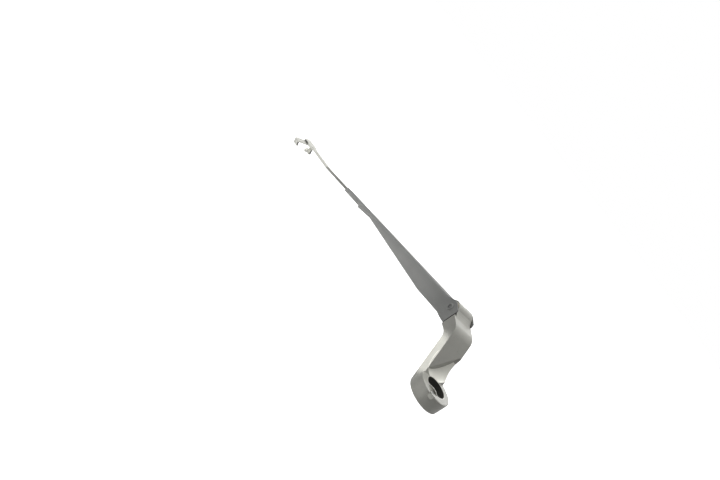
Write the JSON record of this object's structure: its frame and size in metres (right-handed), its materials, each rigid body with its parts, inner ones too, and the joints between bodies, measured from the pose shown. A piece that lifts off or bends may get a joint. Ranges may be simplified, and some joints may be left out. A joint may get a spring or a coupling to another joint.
{
  "type": "wiper arm",
  "caption": "Windscreen wiper arm: die-cast head, hinged steel channel with a tension spring, flat rod ending in a clip with a side pin and lock strap.",
  "frame": {"origin": "on the axis of the spindle's bore, at the head's underside", "axes": "+Z along the spindle's axis, away from the glass; +X along the arm towards its tip; +Y towards the side that the side pin points to"},
  "size_m": [0.6302, 0.0335, 0.1819],
  "materials": {
    "cast_head": "satin",
    "painted_steel": "satin",
    "rod_steel": "satin",
    "pin_steel": "satin",
    "bush_plastic": "matte",
    "spring_steel": "satin"
  },
  "bodies": {
    "head": {"arm_head": "cast_head", "bush_near": "bush_plastic", "bush_far": "bush_plastic", "link_pin": "pin_steel"},
    "arm": {"channel": "painted_steel", "rod": "rod_steel", "end_clip": "rod_steel", "side_pin": "pin_steel", "hinge_pin": "pin_steel"},
    "link": {"spring_link": "pin_steel"},
    "spring": {"tension_spring": "spring_steel"}
  },
  "joints": [
    {"name": "arm_fold", "type": "hinge", "parent": "head", "child": "arm", "pos_m": [0.0574, 0.0005, 0.0508], "axis": [0, -1, 0], "range_deg": [0, 50]},
    {"name": "link_swing", "type": "hinge", "parent": "head", "child": "link", "pos_m": [0.05261, 0.0005, 0.04542], "axis": [0, -1, 0], "range_deg": [0, 48.1]},
    {"name": "spring_stretch", "type": "slide", "parent": "link", "child": "spring", "axis": [0.9669, 0, -0.2551], "range_m": [0, 0.00385], "deforming": ["tension_spring"]}
  ],
  "couplings": [
    {"joint": "link_swing", "follows": "arm_fold", "ratio": 0.956},
    {"joint": "spring_stretch", "follows": "arm_fold", "m_per_rad": 0.00435}
  ]
}
